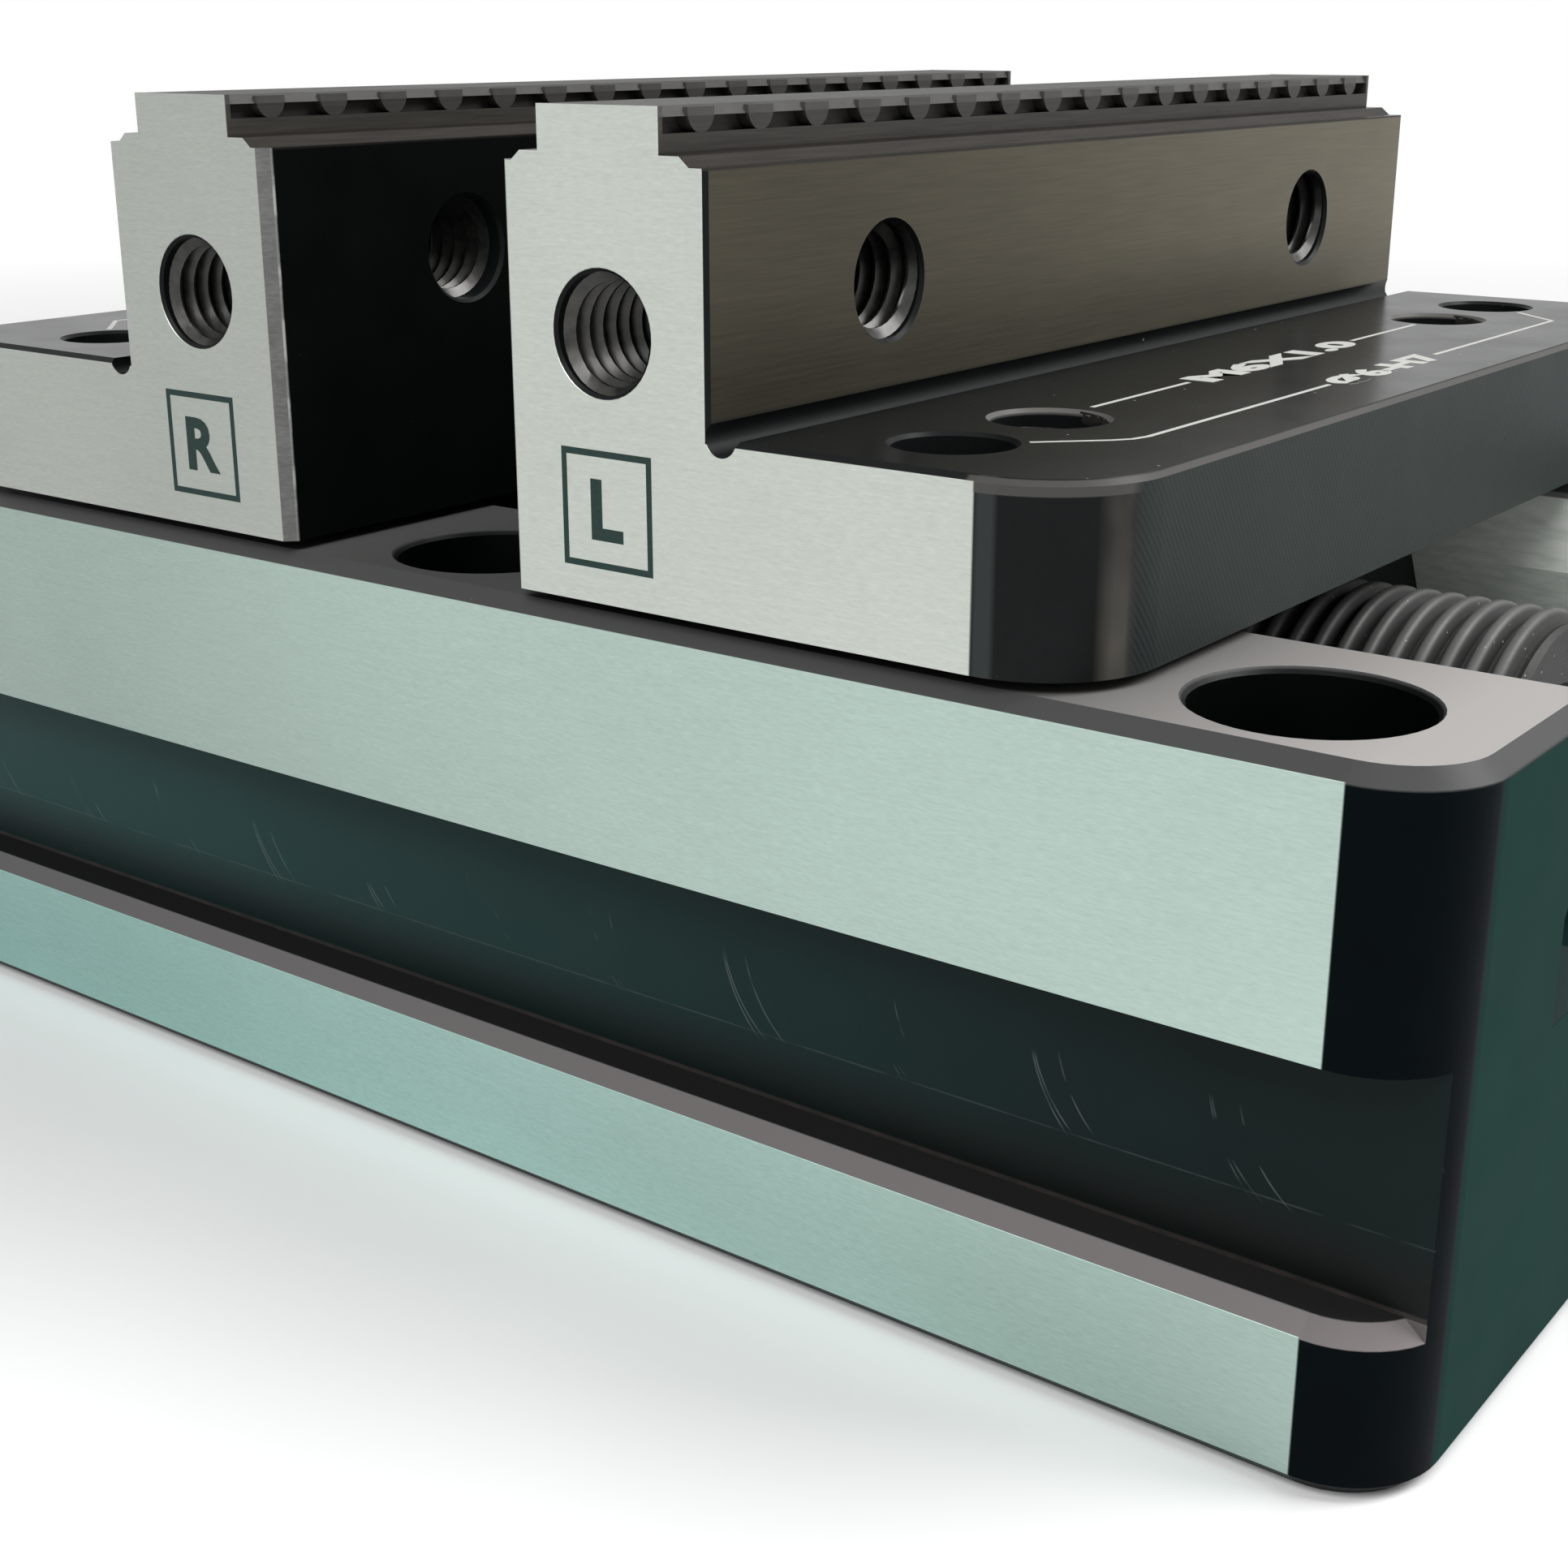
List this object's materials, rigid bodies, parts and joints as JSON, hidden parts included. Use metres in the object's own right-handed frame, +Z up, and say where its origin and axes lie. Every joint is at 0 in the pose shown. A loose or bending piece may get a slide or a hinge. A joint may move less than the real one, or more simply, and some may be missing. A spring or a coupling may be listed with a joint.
{
  "type": "self centering vise",
  "caption": "Self centering vise: a grooved base, two toothed carriages in its guide channel, and one right- and left-hand screw that moves them together.",
  "frame": {"origin": "the middle of the base's bottom face", "axes": "+X along the screw towards the carriage marked L, +Y from the front to the back, +Z up"},
  "size_m": [0.12, 0.08, 0.0594],
  "materials": {
    "base_steel": "black oxide, with the bands of the long sides ground bright",
    "carriage_steel": "black oxide, with the two end faces ground bright",
    "screw_steel": "black oxide, satin",
    "block_steel": "black oxide, milled",
    "bronze": "turned bearing bronze",
    "fastener_steel": "black oxide",
    "pin_steel": "ground"
  },
  "bodies": {
    "base": {"base_body": "base_steel", "centre_saddle": "block_steel", "centre_cap": "block_steel", "bearing_shell_lower": "bronze", "bearing_shell_upper": "bronze", "cap_screw_front": "fastener_steel", "cap_screw_back": "fastener_steel", "saddle_screw_front": "fastener_steel", "saddle_screw_back": "fastener_steel", "saddle_dowel_front": "pin_steel", "saddle_dowel_back": "pin_steel"},
    "spindle": {"lead_screw": "screw_steel"},
    "left_marked_carriage": {"carriage_l": "carriage_steel"},
    "right_marked_carriage": {"carriage_r": "carriage_steel"}
  },
  "joints": [
    {"name": "spindle_turn", "type": "hinge", "parent": "base", "child": "spindle", "pos_m": [0, 0, 0.023], "axis": [1, 0, 0], "range_deg": [-1945, 4081]},
    {"name": "carriage_l_slide", "type": "slide", "parent": "base", "child": "left_marked_carriage", "axis": [1, 0, 0], "range_m": [-0.0081, 0.017]},
    {"name": "carriage_r_slide", "type": "slide", "parent": "base", "child": "right_marked_carriage", "axis": [-1, 0, 0], "range_m": [-0.00811, 0.01701]}
  ],
  "couplings": [
    {"joint": "spindle_turn", "follows": "carriage_l_slide", "rad_per_m": 4188.8},
    {"joint": "carriage_r_slide", "follows": "carriage_l_slide", "ratio": 1}
  ]
}
